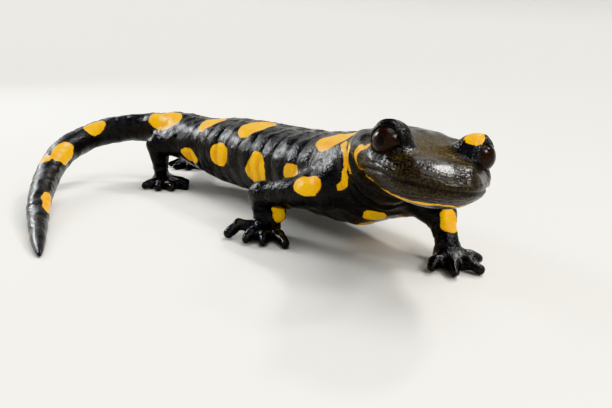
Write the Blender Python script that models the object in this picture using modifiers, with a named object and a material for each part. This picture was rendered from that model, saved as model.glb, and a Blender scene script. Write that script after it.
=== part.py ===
# Fire salamander: a still life-size model in a walking stance, head raised, tail curled round to the right.
# The solids are the head, jaw, neck, lengths of trunk and tail, glands, eyes, lids and legs.
# Sizes are in millimetres and degrees, and MM turns them into metres where a mesh is made.
# +X runs from the hips to the head, +Y is the animal's left side, +Z is up and the floor is at Z = 0.

import math

import bmesh
import bpy
import numpy as np
from mathutils import Matrix, Vector

MM = 0.001
GAP = 0.3                    # clear space left between pieces that would touch
SNOUT_TIP = (55.9, -1.5)   # where the spine line starts
HEAD_LEAN = 10.0             # the head tips this far to its left, and the neck takes it up
LEAN_FADES = (16.0, 32.0)    # stretch of the spine line over which the lean fades out
TOP_SQUARENESS = 0.85        # power of a section's upper half: 1 is an ellipse, less is squarer
RING_POINTS = 22
RING_STEP = 3.1

# Spine line from the snout tip to the tail tip. Each station holds the distance along the line, the heading
# of the line, the height of its axis, and the section's half width, rise and drop from the axis.
STATIONS = (
    (0.0, 142.0, 19.1, 0.0, 0.0, 0.0),      # snout tip
    (2.0, 142.0, 19.1, 4.8, 2.0, 2.7),
    (5.0, 142.0, 19.2, 7.0, 2.7, 4.1),      # nostrils
    (10.0, 142.0, 19.4, 8.7, 2.7, 5.0),     # eyes
    (18.0, 143.0, 19.7, 9.4, 3.2, 5.5),     # corner of the jaw
    (24.0, 150.0, 19.0, 8.6, 4.1, 6.2),     # glands behind the eyes
    (31.0, 162.0, 16.2, 8.2, 5.9, 7.8),     # neck
    (40.0, 172.0, 12.5, 9.3, 7.4, 9.6),     # shoulders
    (60.0, 179.0, 10.2, 9.6, 7.7, 8.0),     # middle of the trunk
    (80.0, 185.0, 9.9, 9.0, 7.9, 7.6),
    (92.0, 190.0, 10.4, 7.4, 6.4, 6.6),     # hips
    (104.0, 205.0, 12.8, 4.6, 4.7, 4.8),    # root of the tail
    (113.0, 219.0, 13.2, 3.6, 3.6, 3.7),
    (122.0, 246.0, 12.4, 3.3, 3.4, 3.4),
    (131.0, 286.0, 10.3, 3.1, 3.2, 3.2),    # tail bend
    (140.0, 318.0, 7.9, 3.0, 3.1, 3.1),
    (152.0, 332.0, 5.0, 2.7, 2.8, 2.8),
    (171.0, 341.0, 2.1, 2.0, 1.9, 1.9),     # tail comes down to the floor
    (182.0, 344.0, 1.0, 1.4, 1.3, 1.3),
    (190.0, 345.0, 0.6, 0.0, 0.0, 0.0),     # tail tip
)

# Lengths of the body behind the head: name, and the stretch of the spine line that each one takes.
HEAD_END = 27.0
BODY_LENGTHS = (
    ("neck", HEAD_END, 36.0),
    ("trunk_front", 36.0, 52.0),
    ("trunk_middle", 52.0, 68.0),
    ("trunk_rear", 68.0, 84.0),
    ("pelvis", 84.0, 100.0),
    ("tail_root", 100.0, 115.0),
    ("tail_upper", 115.0, 130.0),
    ("tail_bend", 130.0, 145.0),
    ("tail_middle", 145.0, 160.0),
    ("tail_lower", 160.0, 175.0),
    ("tail_tip", 175.0, 190.0),
)
ON_FLOOR = ("tail_lower", "tail_tip")

# Head details, placed by distance along the spine line, side offset and height above the axis.
MOUTH_LINE = ((-2.0, -0.1), (6.0, -0.5), (12.0, -1.8), (16.5, -3.5))
MOUTH_DEPTH = 12.0
EYE = {"along": 9.5, "side": 6.3, "height": 3.0, "radius": 2.3}
BROW = {"inward": 1.5, "below": 1.5, "behind": 1.2, "radius": 3.0}
LID = {"thickness": 0.6, "inward": 0.25, "edge_above_eye": 1.3, "inward_tilt": 26.0}
GLAND = {"along": 20.5, "side": 7.0, "height": 0.5, "half_sizes": (4.6, 2.5, 2.4), "toe_in": 8.0}
NOSTRIL = {"along": 1.9, "side": 3.5, "height": 0.7, "radius": 0.4, "depth": 0.9}

# Legs: joints in order, then the radius at each joint, and the digits as knuckle and tip.
LEGS = {
    "fore_right": {
        "names": ("upper_arm_right", "forearm_right", "hand_right"),
        "joints": ((23.0, 7.6, 10.5), (10.2, 3.3, 9.2), (10.2, 4.0, 4.2)),
        "radii": (3.3, 2.6, 2.2),
        "palm": (11.7, 2.8, 1.4),
        "digits": (
            ((8.2, -0.3, 2.4), (8.2, -3.6, 0.8)),
            ((12.6, -0.7, 1.6), (13.2, -3.1, 0.8)),
            ((14.6, 0.7, 1.5), (16.4, -0.9, 0.8)),
            ((15.8, 3.2, 1.4), (19.8, 1.8, 0.8)),
        ),
    },
    "fore_left": {
        "names": ("upper_arm_left", "forearm_left", "hand_left"),
        "joints": ((27.0, 20.8, 9.5), (38.4, 21.3, 7.0), (41.6, 18.9, 3.6)),
        "radii": (3.2, 2.5, 1.9),
        "palm": (43.0, 18.3, 1.4),
        "digits": (
            ((42.7, 14.7, 1.4), (43.4, 12.6, 0.8)),
            ((45.6, 15.7, 1.4), (47.4, 13.9, 0.8)),
            ((46.7, 18.5, 1.4), (49.6, 18.5, 0.8)),
            ((44.9, 21.3, 1.4), (46.0, 23.3, 0.8)),
        ),
    },
    "hind_right": {
        "names": ("thigh_right", "shank_right", "foot_right"),
        "joints": ((-30.1, 14.4, 11.0), (-39.7, 6.1, 10.0), (-39.6, 7.7, 4.2)),
        "radii": (3.8, 2.8, 2.0),
        "palm": (-37.0, 7.0, 1.4),
        "digits": (
            ((-35.4, 2.5, 1.3), (-35.3, 0.4, 0.8)),
            ((-33.1, 3.9, 1.3), (-31.5, 2.4, 0.8)),
            ((-31.2, 5.9, 1.3), (-28.6, 5.3, 0.8)),
            ((-30.8, 8.0, 1.3), (-28.0, 8.7, 0.8)),
            ((-33.0, 9.8, 1.3), (-31.4, 11.2, 0.8)),
        ),
    },
    "hind_left": {
        "names": ("thigh_left", "shank_left", "foot_left"),
        "joints": ((-33.0, 21.8, 10.0), (-43.6, 30.9, 8.5), (-50.3, 26.1, 4.2)),
        "radii": (3.8, 2.8, 2.0),
        "palm": (-50.6, 24.1, 1.4),
        "digits": (
            ((-46.6, 23.3, 1.3), (-44.4, 23.5, 0.8)),
            ((-48.2, 20.7, 1.3), (-46.2, 19.3, 0.8)),
            ((-50.7, 19.3, 1.3), (-49.8, 16.7, 0.8)),
            ((-53.2, 19.7, 1.3), (-54.0, 17.1, 0.8)),
            ((-54.4, 22.5, 1.3), (-56.3, 21.2, 0.8)),
        ),
    },
}
PALM_HALF_SIZES = (3.3, 2.9, 1.7)
DIGIT_RADIUS = 1.0
SEGMENT_STEPS = 12

# Looks: base colour and roughness. Each node gets a material of its own from one of these.
SKIN = ((0.016, 0.016, 0.019), 0.3)
LIMB_SKIN = ((0.022, 0.021, 0.023), 0.35)
GLAND_SKIN = ((0.02, 0.018, 0.016), 0.32)
WET_EYE = ((0.012, 0.008, 0.006), 0.05)


def clear_scene():
    for old in list(bpy.data.objects):
        bpy.data.objects.remove(old, do_unlink=True)


def new_collection(name):
    collection = bpy.data.collections.new(name)
    bpy.context.scene.collection.children.link(collection)
    return collection


def material(name, look):
    colour, roughness = look
    made = bpy.data.materials.new(name)
    made.use_nodes = True
    shader = made.node_tree.nodes["Principled BSDF"]
    shader.inputs["Base Color"].default_value = (*colour, 1.0)
    shader.inputs["Roughness"].default_value = roughness
    shader.inputs["Metallic"].default_value = 0.0
    made.diffuse_color = (*colour, 1.0)
    return made


def smooth_through(xs, ys, x):
    # A cubic through the given values that never overshoots them: slopes are harmonic means.
    xs = np.asarray(xs, float)
    ys = np.asarray(ys, float)
    widths = np.diff(xs)
    rises = np.diff(ys) / widths
    slopes = np.concatenate([rises[:1], np.zeros(len(xs) - 2), rises[-1:]])
    for i in range(1, len(xs) - 1):
        if rises[i - 1] * rises[i] > 0:
            before = 2 * widths[i] + widths[i - 1]
            after = widths[i] + 2 * widths[i - 1]
            slopes[i] = (before + after) / (before / rises[i - 1] + after / rises[i])
    k = np.clip(np.searchsorted(xs, x) - 1, 0, len(xs) - 2)
    t = (x - xs[k]) / widths[k]
    start = (1 + 2 * t) * (1 - t) ** 2 * ys[k] + t * (1 - t) ** 2 * widths[k] * slopes[k]
    end = t * t * (3 - 2 * t) * ys[k + 1] + t * t * (t - 1) * widths[k] * slopes[k + 1]
    return start + end


def trace_spine(step=0.1):
    # The spine line is found by adding up short steps along its heading and slope.
    table = np.array(STATIONS)
    along = np.arange(0.0, table[-1, 0] + step / 2, step)
    heading = np.radians(smooth_through(table[:, 0], table[:, 1], along))
    height = smooth_through(table[:, 0], table[:, 2], along)
    slope = np.gradient(height, along)
    level = np.sqrt(1 - slope ** 2)
    back = np.stack([np.cos(heading) * level, np.sin(heading) * level, slope], axis=1)
    steps = (back[1:, :2] + back[:-1, :2]) / 2 * step
    places = np.concatenate([[SNOUT_TIP], np.array(SNOUT_TIP) + np.cumsum(steps, axis=0)])
    return along, np.column_stack([places, height]), -back


SPINE = trace_spine()


def spine_frame(s):
    # Centre, forward, left and up at a distance along the spine line.
    along, places, forwards = SPINE
    centre = Vector([np.interp(s, along, places[:, k]) for k in range(3)])
    forward = Vector([np.interp(s, along, forwards[:, k]) for k in range(3)]).normalized()
    left = Vector((0, 0, 1)).cross(forward).normalized()
    up = forward.cross(left)
    lean = math.radians(np.interp(s, LEAN_FADES, (HEAD_LEAN, 0.0)))
    leaned_left = left * math.cos(lean) - up * math.sin(lean)
    leaned_up = up * math.cos(lean) + left * math.sin(lean)
    return centre, forward, leaned_left, leaned_up


def spine_point(s, side, height):
    centre, _, left, up = spine_frame(s)
    return centre + left * side + up * height


def half_sizes(s):
    # Squares are interpolated, so that the snout and the tail tip close in a round end.
    table = np.array(STATIONS)
    squares = [smooth_through(table[:, 0], table[:, k] ** 2, s) for k in (3, 4, 5)]
    return [math.sqrt(max(float(value), 0.0)) for value in squares]


def body_ring(s, grow):
    centre, _, left, up = spine_frame(s)
    width, rise, drop = (size + grow for size in half_sizes(s))
    ring = []
    for i in range(RING_POINTS):
        angle = 2 * math.pi * i / RING_POINTS
        across = math.cos(angle)
        above = math.sin(angle)
        if above > 0:
            across = math.copysign(abs(across) ** TOP_SQUARENESS, across)
            above = above ** TOP_SQUARENESS
        ring.append(centre + left * (width * across) + up * ((rise if above > 0 else drop) * above))
    return ring


def link_mesh(name, bm, collection, look):
    # A cutter has no material, shows as wire and stays out of renders.
    bmesh.ops.recalc_face_normals(bm, faces=bm.faces)
    for face in bm.faces:
        face.smooth = True
    mesh = bpy.data.meshes.new(name)
    bm.to_mesh(mesh)
    bm.free()
    item = bpy.data.objects.new(name, mesh)
    collection.objects.link(item)
    if look is None:
        item.display_type = 'WIRE'
        item.hide_render = True
    else:
        mesh.materials.append(material(name + "_surface", look))
    return item


def ring_distances(start, end):
    # Sections stand closer together at the snout and the tail tip, where the body rounds off.
    tip = STATIONS[-1][0]
    count = max(2, round((end - start) / RING_STEP))
    even = [start + (end - start) * i / count for i in range(count + 1)]
    snout_rings = [0.0, 0.15, 0.6, 1.3]
    tip_rings = [tip - 0.9, tip - 0.3, tip]
    if start == 0.0:
        even = snout_rings + [s for s in even if s > 2.0]
    if end == tip:
        even = [s for s in even if s < tip - 1.5] + tip_rings
    return even


def body_loft(name, start, end, grow, collection, look):
    # Skins the sections from start to end, with a point at the snout and tail tips and flat ends elsewhere.
    bm = bmesh.new()
    rings = []
    for s in ring_distances(start, end):
        if max(half_sizes(s)) < 0.01:
            rings.append([bm.verts.new(spine_frame(s)[0] * MM)])
        else:
            rings.append([bm.verts.new(point * MM) for point in body_ring(s, grow)])
    for near, far in zip(rings, rings[1:]):
        for i in range(RING_POINTS):
            j = (i + 1) % RING_POINTS
            if len(near) == 1:
                bm.faces.new((near[0], far[i], far[j]))
            elif len(far) == 1:
                bm.faces.new((near[i], near[j], far[0]))
            else:
                bm.faces.new((near[i], near[j], far[j], far[i]))
    for ring in (rings[0], rings[-1]):
        if len(ring) > 1:
            bm.faces.new(ring)
    return link_mesh(name, bm, collection, look)


def ball(name, centre, half_sizes_xyz, turn, collection, look, segments=16, rings=10):
    bm = bmesh.new()
    bmesh.ops.create_uvsphere(bm, u_segments=segments, v_segments=rings, radius=MM)
    bmesh.ops.scale(bm, vec=half_sizes_xyz, verts=bm.verts)
    item = link_mesh(name, bm, collection, look)
    item.matrix_world = Matrix.Translation(centre * MM) @ turn.to_4x4()
    return item


def cut(item, tool, operation='DIFFERENCE'):
    boolean = item.modifiers.new(operation.lower(), 'BOOLEAN')
    boolean.operation = operation
    boolean.solver = 'EXACT'
    boolean.object = tool


def head_axes(s=10.0):
    # Rotation whose columns are forward, left and up at a station of the head.
    _, forward, left, up = spine_frame(s)
    return Matrix((forward, left, up)).transposed()


def mouth_block(name, shift, cutters):
    # A block under the mouth line, moved down and forward by the given shift, as wide as the head and more.
    centre = spine_frame(10.0)[0]
    turn = head_axes()
    line = [(s, height - shift) for s, height in MOUTH_LINE]
    line[-1] = (line[-1][0] - shift, line[-1][1])
    outline = line + [(line[-1][0], -MOUTH_DEPTH), (line[0][0], -MOUTH_DEPTH)]
    bm = bmesh.new()
    flat = [bm.verts.new((centre + turn @ Vector((10.0 - s, -14.0, height))) * MM) for s, height in outline]
    face = bm.faces.new(flat)
    grown = bmesh.ops.extrude_face_region(bm, geom=[face])
    moved = [vert for vert in grown["geom"] if isinstance(vert, bmesh.types.BMVert)]
    bmesh.ops.translate(bm, verts=moved, vec=turn @ Vector((0, 28.0, 0)) * MM)
    return link_mesh(name, bm, cutters, None)


def build_head(parts, cutters):
    head = body_loft("head", 0.0, HEAD_END - GAP / 2, 0.0, parts, SKIN)
    cut(head, mouth_block("mouth_cut", -GAP / 2, cutters))
    jaw = body_loft("lower_jaw", 0.0, MOUTH_LINE[-1][0] + 4.0, 0.0, parts, SKIN)
    cut(jaw, mouth_block("jaw_block", GAP / 2, cutters), 'INTERSECT')
    clearance = body_loft("head_clearance", 0.0, HEAD_END + 8.0, GAP, cutters, None)
    for side, sign in (("right", -1), ("left", 1)):
        build_eye(head, clearance, side, sign, parts, cutters)
        build_gland(clearance, side, sign, parts)
        cut(head, nostril_cutter(side, sign, cutters))


def build_eye(head, clearance, side, sign, parts, cutters):
    turn = head_axes()
    centre = spine_point(EYE["along"], sign * EYE["side"], EYE["height"])
    radius = EYE["radius"]
    ball("eye_" + side, centre, (radius,) * 3, turn, parts, WET_EYE)
    brow_side = sign * (EYE["side"] - BROW["inward"])
    brow = spine_point(EYE["along"] + BROW["behind"], brow_side, EYE["height"] - BROW["below"])
    for item, radius_here in ((head, BROW["radius"]), (clearance, BROW["radius"] + GAP)):
        shape = ball("brow_" + side + "_" + item.name, brow, (radius_here,) * 3, turn, cutters, None)
        cut(item, shape, 'UNION')
    socket = ball("socket_" + side, centre, (radius + GAP,) * 3, turn, cutters, None)
    cut(head, socket)
    outer = radius + GAP + LID["thickness"]
    over_eye = spine_point(EYE["along"], sign * (EYE["side"] - LID["inward"]), EYE["height"])
    lid = ball("eyelid_" + side, over_eye, (outer,) * 3, turn, parts, SKIN, 20, 12)
    cut(lid, lid_block(side, sign, centre, turn, cutters), 'INTERSECT')
    cut(lid, socket)
    cut(lid, clearance)


def lid_block(side, sign, centre, turn, cutters):
    # A block whose lower face is the edge of the lid: it leans in towards the crown.
    reach = 5.0
    bm = bmesh.new()
    bmesh.ops.create_cube(bm, size=2 * reach * MM)
    bmesh.ops.translate(bm, verts=bm.verts, vec=(0, 0, (reach + LID["edge_above_eye"]) * MM))
    item = link_mesh("lid_block_" + side, bm, cutters, None)
    tilt = Matrix.Rotation(sign * math.radians(LID["inward_tilt"]), 3, 'X')
    item.matrix_world = Matrix.Translation(centre * MM) @ (turn @ tilt).to_4x4()
    return item


def build_gland(clearance, side, sign, parts):
    turn = head_axes(GLAND["along"]) @ Matrix.Rotation(sign * math.radians(GLAND["toe_in"]), 3, 'Z')
    centre = spine_point(GLAND["along"], sign * GLAND["side"], GLAND["height"])
    gland = ball("gland_" + side, centre, GLAND["half_sizes"], turn, parts, GLAND_SKIN)
    cut(gland, clearance)


def nostril_cutter(side, sign, cutters):
    centre = spine_point(NOSTRIL["along"], sign * NOSTRIL["side"], NOSTRIL["height"])
    return ball("nostril_" + side, centre, (NOSTRIL["depth"], NOSTRIL["radius"], NOSTRIL["radius"]),
                head_axes(), cutters, None, 8, 6)


def build_body(parts, floor):
    for name, start, end in BODY_LENGTHS:
        stop = end if end == STATIONS[-1][0] else end - GAP / 2
        length = body_loft(name, start + GAP / 2, stop, 0.0, parts, SKIN)
        if name in ON_FLOOR:
            cut(length, floor)


def segment(name, start, end, start_radius, end_radius, collection, look):
    # A round-ended limb bone with its flesh: half of its outline, turned about the line from start to end.
    start = Vector(start)
    end = Vector(end)
    length = (end - start).length
    outline = []
    for i in range(5):
        angle = math.pi / 8 * i
        outline.append((start_radius * math.sin(angle), -start_radius * math.cos(angle)))
    for i in range(5):
        angle = math.pi / 8 * i
        outline.append((end_radius * math.cos(angle), length + end_radius * math.sin(angle)))
    bm = bmesh.new()
    verts = [bm.verts.new((x * MM, 0, z * MM)) for x, z in outline]
    for low, high in zip(verts, verts[1:]):
        bm.edges.new((low, high))
    item = link_mesh(name, bm, collection, look)
    screw = item.modifiers.new("turned", 'SCREW')
    screw.axis = 'Z'
    screw.steps = SEGMENT_STEPS
    screw.render_steps = SEGMENT_STEPS
    screw.use_merge_vertices = True
    screw.merge_threshold = 0.00001
    screw.use_normal_calculate = True
    screw.use_smooth_shade = True
    turn = (end - start).to_track_quat('Z', 'Y')
    item.matrix_world = Matrix.Translation(start * MM) @ turn.to_matrix().to_4x4()
    return item


def digit(name, palm, knuckle, tip, cutters):
    # A tapered tube from the palm over the knuckle to a blunt tip.
    curve = bpy.data.curves.new(name, 'CURVE')
    curve.dimensions = '3D'
    curve.bevel_depth = DIGIT_RADIUS * MM
    curve.bevel_resolution = 1
    curve.use_fill_caps = True
    points = [Vector(palm), Vector(knuckle), Vector(tip)]
    blunt = (points[2] - points[1]).normalized() * 0.45
    points = [points[0], points[1], points[2] - blunt, points[2]]
    sizes = (1.05, 1.0, 0.8, 0.45)
    spline = curve.splines.new('POLY')
    spline.points.add(len(points) - 1)
    for place, point, size in zip(spline.points, points, sizes):
        place.co = (*(point * MM), 1.0)
        place.radius = size
    tube = bpy.data.objects.new(name + "_curve", curve)
    cutters.objects.link(tube)
    mesh = bpy.data.meshes.new_from_object(tube.evaluated_get(bpy.context.evaluated_depsgraph_get()))
    bpy.data.objects.remove(tube, do_unlink=True)
    bm = bmesh.new()
    bm.from_mesh(mesh)
    bmesh.ops.remove_doubles(bm, verts=bm.verts, dist=0.00001)
    return link_mesh(name, bm, cutters, None)


def build_leg(leg, parts, cutters, floor, body_clearance):
    upper, lower, palm_name = leg["names"]
    root, bend, wrist = leg["joints"]
    root_radius, bend_radius, wrist_radius = leg["radii"]
    thigh = segment(upper, root, bend, root_radius, bend_radius, parts, LIMB_SKIN)
    cut(thigh, body_clearance)
    shank = segment(lower, bend, wrist, bend_radius - 0.1, wrist_radius, parts, LIMB_SKIN)
    clear_of_thigh = segment(upper + "_clearance", root, bend,
                             root_radius + GAP, bend_radius + GAP, cutters, None)
    cut(shank, clear_of_thigh)
    palm = Vector(leg["palm"])
    turn = (Vector(leg["digits"][1][1]) - palm).to_track_quat('X', 'Z').to_matrix()
    hand = ball(palm_name, palm, PALM_HALF_SIZES, turn, parts, LIMB_SKIN, 14, 8)
    for i, (knuckle, tip) in enumerate(leg["digits"]):
        cut(hand, digit(palm_name + "_digit_" + str(i + 1), palm, knuckle, tip, cutters), 'UNION')
    clear_of_shank = segment(lower + "_clearance", bend, wrist,
                             bend_radius + GAP, wrist_radius + GAP, cutters, None)
    cut(hand, clear_of_shank)
    cut(hand, floor)


def floor_block(cutters):
    bm = bmesh.new()
    bmesh.ops.create_cube(bm, size=1.0)
    bmesh.ops.scale(bm, vec=(180 * MM, 120 * MM, 6 * MM), verts=bm.verts)
    bmesh.ops.translate(bm, verts=bm.verts, vec=(0, 0, -3 * MM))
    return link_mesh("floor_block", bm, cutters, None)


def main():
    clear_scene()
    parts = new_collection("fire_salamander")
    cutters = new_collection("cutters")
    floor = floor_block(cutters)
    build_head(parts, cutters)
    build_body(parts, floor)
    fore_clearance = body_loft("shoulder_clearance", 20.0, 62.0, GAP, cutters, None)
    hind_clearance = body_loft("hip_clearance", 76.0, 112.0, GAP, cutters, None)
    for place, leg in LEGS.items():
        clearance = fore_clearance if place.startswith("fore") else hind_clearance
        build_leg(leg, parts, cutters, floor, clearance)


main()
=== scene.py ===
import math

import bmesh
import bpy
import numpy as np
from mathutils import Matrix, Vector


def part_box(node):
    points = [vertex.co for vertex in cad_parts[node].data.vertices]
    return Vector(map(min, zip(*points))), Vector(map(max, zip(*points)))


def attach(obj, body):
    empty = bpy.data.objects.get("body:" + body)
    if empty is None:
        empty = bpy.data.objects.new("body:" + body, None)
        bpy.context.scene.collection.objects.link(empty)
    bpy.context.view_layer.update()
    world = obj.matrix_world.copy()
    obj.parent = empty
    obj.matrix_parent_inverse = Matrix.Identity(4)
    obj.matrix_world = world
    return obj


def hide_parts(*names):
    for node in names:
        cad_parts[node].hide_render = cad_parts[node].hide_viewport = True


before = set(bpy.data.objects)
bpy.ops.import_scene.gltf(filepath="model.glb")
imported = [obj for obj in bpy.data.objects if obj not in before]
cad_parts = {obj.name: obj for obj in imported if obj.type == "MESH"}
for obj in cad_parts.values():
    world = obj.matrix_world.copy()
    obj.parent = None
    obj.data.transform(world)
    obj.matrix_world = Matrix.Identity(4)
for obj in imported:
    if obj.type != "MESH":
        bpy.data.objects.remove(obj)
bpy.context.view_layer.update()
mm = 0.001
print("frame loaded:", len(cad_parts), "nodes")


def unit(v):
    # vectors divided by their own length
    return v / np.maximum(np.linalg.norm(v, axis=-1, keepdims=True), 1e-9)


def ease(x, low, high):
    # 0 below low, 1 above high, an S curve between
    t = np.clip((x - low) / (high - low), 0.0, 1.0)
    return t * t * (3 - 2 * t)


def ridge(x, width):
    # bell curve of height 1 at x = 0
    return np.exp(-(x / width) ** 2)


def softMin(a, b, k):
    # the smaller of two distances, rounded over where they are within k of each other
    h = np.maximum(k - np.abs(a - b), 0.0) / k
    return np.minimum(a, b) - h * h * k / 4


def smoothThrough(xs, ys, x):
    # a cubic through the given values that never overshoots them: slopes are harmonic means
    xs, ys = np.asarray(xs, float), np.asarray(ys, float)
    widths = np.diff(xs)
    rises = np.diff(ys) / widths
    slopes = np.concatenate([rises[:1], np.zeros(len(xs) - 2), rises[-1:]])
    for i in range(1, len(xs) - 1):
        if rises[i - 1] * rises[i] > 0:
            before, after = 2 * widths[i] + widths[i - 1], widths[i] + 2 * widths[i - 1]
            slopes[i] = (before + after) / (before / rises[i - 1] + after / rises[i])
    k = np.clip(np.searchsorted(xs, x) - 1, 0, len(xs) - 2)
    t = (x - xs[k]) / widths[k]
    start = (1 + 2 * t) * (1 - t) ** 2 * ys[k] + t * (1 - t) ** 2 * widths[k] * slopes[k]
    end = t * t * (3 - 2 * t) * ys[k + 1] + t * t * (t - 1) * widths[k] * slopes[k + 1]
    return start + end


waveCount = 14
draws = np.random.default_rng(11)
waveTurns = unit(draws.normal(size=(waveCount, 3)))
wavePhases = draws.uniform(0, 2 * math.pi, waveCount)


def swell(points, length):
    # slow lumps: a sum of sine waves in fixed directions, about -1 to 1
    pitch = 2 * math.pi / (length * np.linspace(0.7, 1.4, waveCount))
    return np.sin(points @ waveTurns.T * pitch + wavePhases).sum(axis=1) / 4


# the line of the body, from the snout to the tail's tip
bodyLine = {
    "snoutTip": (55.9, -1.5),
    "headLean": 10.0,          # turn of the head about its own line
    "leanFades": (16.0, 32.0),
    "topSquareness": 0.85,     # 1 for an ellipse above the line
    # distance from the snout, heading going back, height of the axis, half width, rise, drop
    "stations": (
        (0.0, 142.0, 19.1, 0.0, 0.0, 0.0),
        (2.0, 142.0, 19.1, 4.8, 2.0, 2.7),
        (5.0, 142.0, 19.2, 7.0, 2.7, 4.1),
        (10.0, 142.0, 19.4, 8.7, 2.7, 5.0),
        (18.0, 143.0, 19.7, 9.4, 3.2, 5.5),
        (24.0, 150.0, 19.0, 8.6, 4.1, 6.2),
        (31.0, 162.0, 16.2, 8.2, 5.9, 7.8),
        (40.0, 172.0, 12.5, 9.3, 7.4, 9.6),
        (60.0, 179.0, 10.2, 9.6, 7.7, 8.0),
        (80.0, 185.0, 9.9, 9.0, 7.9, 7.6),
        (92.0, 190.0, 10.4, 7.4, 6.4, 6.6),
        (104.0, 205.0, 12.8, 4.6, 4.7, 4.8),
        (113.0, 219.0, 13.2, 3.6, 3.6, 3.7),
        (122.0, 246.0, 12.4, 3.3, 3.4, 3.4),
        (131.0, 286.0, 10.3, 3.1, 3.2, 3.2),
        (140.0, 318.0, 7.9, 3.0, 3.1, 3.1),
        (152.0, 332.0, 5.0, 2.7, 2.8, 2.8),
        (171.0, 341.0, 2.1, 2.0, 1.9, 1.9),
        (182.0, 344.0, 1.0, 1.4, 1.3, 1.3),
        (190.0, 345.0, 0.6, 0.0, 0.0, 0.0),
    ),
}


def traceLine(step=0.1):
    # one row each tenth of a millimetre: centre, backward, left and up directions, half width, rise, drop
    table = np.array(bodyLine["stations"])
    start = np.array(bodyLine["snoutTip"])
    along = np.arange(0.0, table[-1, 0] + step / 2, step)
    heading = np.radians(smoothThrough(table[:, 0], table[:, 1], along))
    height = smoothThrough(table[:, 0], table[:, 2], along)
    slope = np.gradient(height, along)
    level = np.sqrt(1 - slope ** 2)
    back = np.stack([np.cos(heading) * level, np.sin(heading) * level, slope], axis=1)
    steps = (back[1:, :2] + back[:-1, :2]) / 2 * step
    places = np.concatenate([[start], start + np.cumsum(steps, axis=0)])
    left = unit(np.cross([0.0, 0.0, 1.0], -back))
    up = np.cross(-back, left)
    lean = np.radians(np.interp(along, bodyLine["leanFades"], (bodyLine["headLean"], 0.0)))[:, None]
    leanedLeft = left * np.cos(lean) - up * np.sin(lean)
    leanedUp = up * np.cos(lean) + left * np.sin(lean)
    squares = [smoothThrough(table[:, 0], table[:, column] ** 2, along) for column in (3, 4, 5)]
    sizes = np.sqrt(np.maximum(squares, 0.0))
    return np.column_stack([places, height, back, leanedLeft, leanedUp, *sizes])


line = traceLine()
lineEnd = bodyLine["stations"][-1][0]


def lineAt(s):
    # rows of the line at any distance along it, in straight steps between the rows that were traced
    t = np.clip(np.asarray(s, float), 0.0, lineEnd) * 10
    i = np.minimum(t.astype(int), len(line) - 2)
    part = (t - i)[..., None]
    return line[i] * (1 - part) + line[i + 1] * part


def onBody(s, side, height):
    # a place given by its distance along the line, to the left of it and above it
    row = lineAt(s)
    across = row[..., 6:9] * np.asarray(side)[..., None]
    return row[..., 0:3] + across + row[..., 9:12] * np.asarray(height)[..., None]


def nearestStation(points):
    # nearest whole millimetre of the line, in blocks so that memory stays small
    marks = line[::10, :3]
    found = np.empty(len(points))
    for start in range(0, len(points), 20000):
        block = points[start:start + 20000]
        away = ((block[:, None, :] - marks[None]) ** 2).sum(axis=2)
        found[start:start + 20000] = away.argmin(axis=1)
    return found


def placeOnBody(points, station):
    # slides along the line until the point is square to it: station, side, height and what is past an end
    s = station
    for _ in range(3):
        row = lineAt(s)
        s = np.clip(s + ((points - row[:, 0:3]) * row[:, 3:6]).sum(axis=1), 0.0, lineEnd)
    row = lineAt(s)
    away = points - row[:, 0:3]
    past = np.where((s <= 0.0) | (s >= lineEnd), np.abs((away * row[:, 3:6]).sum(axis=1)), 0.0)
    return s, (away * row[:, 6:9]).sum(axis=1), (away * row[:, 9:12]).sum(axis=1), past, row


def bodyDistance(points, station):
    # distance from the body's skin: an ellipse below, a slightly squared ellipse above
    s, side, height, past, row = placeOnBody(points, station)
    width = np.maximum(row[:, 12], 0.03)
    tall = np.maximum(np.where(height > 0, row[:, 13], row[:, 14]), 0.03)
    power = np.where(height > 0, 2 / bodyLine["topSquareness"], 2.0)
    share = ((np.abs(side) / width) ** power + (np.abs(height) / tall) ** power) ** (1 / power)
    out = np.hypot(side, height)
    distance = out * (1 - 1 / np.maximum(share, 1e-4))
    return np.where(past > 0, np.hypot(np.maximum(distance, 0.0), past), distance)


headStation = lineAt(10.0)
headAxes = np.stack([-headStation[3:6], headStation[6:9], headStation[9:12]])   # forward, left, up

eyeForm = {
    "radius": 2.3,
    "cornea": 0.035,           # share by which the front stands out
    "gazeOutward": 40.0,       # from straight ahead
    "gazeUp": 4.0,
    "lidOver": 3.15,           # radius of the lids' outside above and below the eyeball
    "lidUnder": 2.62,
    "lidFront": 2.66,
    "lidInward": 0.25,
    "rimOver": 0.30,           # how far the lids' edges stand off the eyeball, above and below
    "rimUnder": 0.14,
    "rimWidth": 1.3,
    "rimDrop": 0.55,
    "rimGroove": 0.12,
    "edgeBand": 0.13,          # points this near the opening's edge slide onto it
    "edgeReach": 4.2,          # from the eyeball's middle, as are the next four
    "cutReach": 5.2,
    "lidReach": (3.7, 3.1),    # where the lids' folds fade in
    "closedBeyond": 3.25,
    "socket": 1.5,
    # half angles of the opening seen from the middle of the eyeball, each 45 degrees: in front,
    # in front and above, above, behind and above, behind, behind and below, below, in front and below
    "opening": {"right": (72, 67, 62, 61, 62, 59, 55, 59), "left": (52, 60, 64, 65, 64, 59, 53, 52)},
    # thin folds round the opening: distance from its edge, width and rise
    "folds": ((0.42, 0.2, 0.06), (0.85, 0.15, -0.09), (1.45, 0.18, -0.06), (2.0, 0.2, -0.05)),
    "browInward": 1.5,
    "browBelow": 1.5,
    "browBehind": 1.2,
    "browRadius": 3.0,
    "browBlend": 0.8,
    "headBlend": 1.9,
}


def boxCentre(node):
    # middle of a node's box
    low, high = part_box(node)
    return np.array((Vector(low) + Vector(high)) / 2) / mm


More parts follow.
